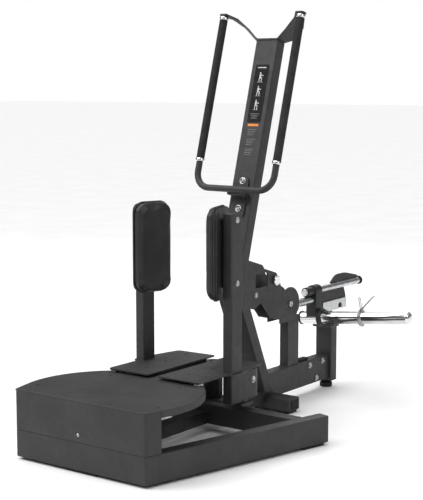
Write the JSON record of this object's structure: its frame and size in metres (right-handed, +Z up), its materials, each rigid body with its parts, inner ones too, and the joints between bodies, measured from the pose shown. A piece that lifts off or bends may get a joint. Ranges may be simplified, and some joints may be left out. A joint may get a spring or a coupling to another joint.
{
  "type": "standing hip abduction machine",
  "caption": "Plate-loaded standing hip machine: swinging foot plates with outer-thigh pads on a low base, a leaning mast with tall hand grips, and a rear lever with a side weight horn.",
  "frame": {"origin": "middle of the machine's footprint, on the floor", "axes": "+X to the side that carries the weight horn, +Y from the standing deck towards the weight lever, +Z up"},
  "size_m": [0.9566, 1.813, 1.5345],
  "materials": {
    "black_paint": "fine-textured satin powder coat",
    "dark_paint": "satin powder coat",
    "chrome": "hard chrome, polished",
    "bright_steel": "bright turned steel",
    "zinc_plate": "galvanised, dull",
    "black_rubber": "matt moulded",
    "grip_foam": "matt, fine-pored",
    "upholstery": "grained synthetic leather",
    "placard_print": "printed plate with plain shapes, no lettering"
  },
  "bodies": {
    "frame": {"base_front_tube": "black_paint", "base_rail_left": "black_paint", "base_rail_right": "black_paint", "cross_tube": "black_paint", "spine_tube": "black_paint", "pivot_base_plate": "black_paint", "front_cover": "black_paint", "deck_plate": "black_paint", "mast": "black_paint", "mast_top_plate": "black_paint", "handle_tube": "black_paint", "handle_plate": "black_paint", "handle_saddle": "black_paint", "rear_beam": "black_paint", "rear_foot_tube": "black_paint", "cheek_plate_left": "black_paint", "cheek_plate_right": "black_paint", "rear_upright": "black_paint", "rear_tower": "black_paint", "deck_beam": "black_paint", "deck_strut": "black_paint", "arm_pivot_pin_left": "dark_paint", "arm_pivot_pin_right": "dark_paint", "brace_pin": "chrome", "lever_axle": "bright_steel", "rubber_foot_left": "black_rubber", "rubber_foot_right": "black_rubber", "rubber_foot_front": "black_rubber", "rubber_foot_rear_left": "black_rubber", "rubber_foot_rear_right": "black_rubber", "tower_stop": "black_rubber", "beam_bumper": "black_rubber", "levelling_foot": "black_rubber", "hand_grip_left": "grip_foam", "hand_grip_right": "grip_foam", "placard_plate": "placard_print"},
    "left_leg": {"leg_arm_left": "black_paint", "foot_plate_left": "black_paint", "pad_board_left": "dark_paint", "thigh_pad_left": "upholstery", "pad_bracket_left": "black_paint"},
    "right_leg": {"leg_arm_right": "black_paint", "foot_plate_right": "black_paint", "pad_board_right": "dark_paint", "thigh_pad_right": "upholstery", "pad_bracket_right": "black_paint"},
    "weight_lever": {"lever_hub": "dark_paint", "lever_bar": "bright_steel", "lever_block": "dark_paint", "tail_tube": "bright_steel", "tail_cap": "black_rubber", "lever_web": "dark_paint", "tail_fin": "dark_paint", "notch_plate": "zinc_plate", "weight_horn": "chrome", "horn_disc": "dark_paint"},
    "collar": {"spring_collar": "bright_steel"}
  },
  "joints": [
    {"name": "right_leg_swing", "type": "hinge", "parent": "frame", "child": "right_leg", "pos_m": [0.06, -0.0865, 0.17], "axis": [0, 0, 1], "range_deg": [0, 40]},
    {"name": "left_leg_swing", "type": "hinge", "parent": "frame", "child": "left_leg", "pos_m": [-0.06, -0.0865, 0.17], "axis": [0, 0, -1], "range_deg": [0, 40]},
    {"name": "lever_lift", "type": "hinge", "parent": "frame", "child": "weight_lever", "pos_m": [0, 0.3085, 0.4], "axis": [1, 0, 0], "range_deg": [0, 30]},
    {"name": "collar_slide", "type": "slide", "parent": "weight_lever", "child": "collar", "axis": [0.9947, 0, 0.1028], "range_m": [-0.175, 0.19]}
  ],
  "couplings": [
    {"joint": "left_leg_swing", "follows": "right_leg_swing", "ratio": 1},
    {"joint": "lever_lift", "follows": "right_leg_swing", "ratio": 0.75}
  ]
}
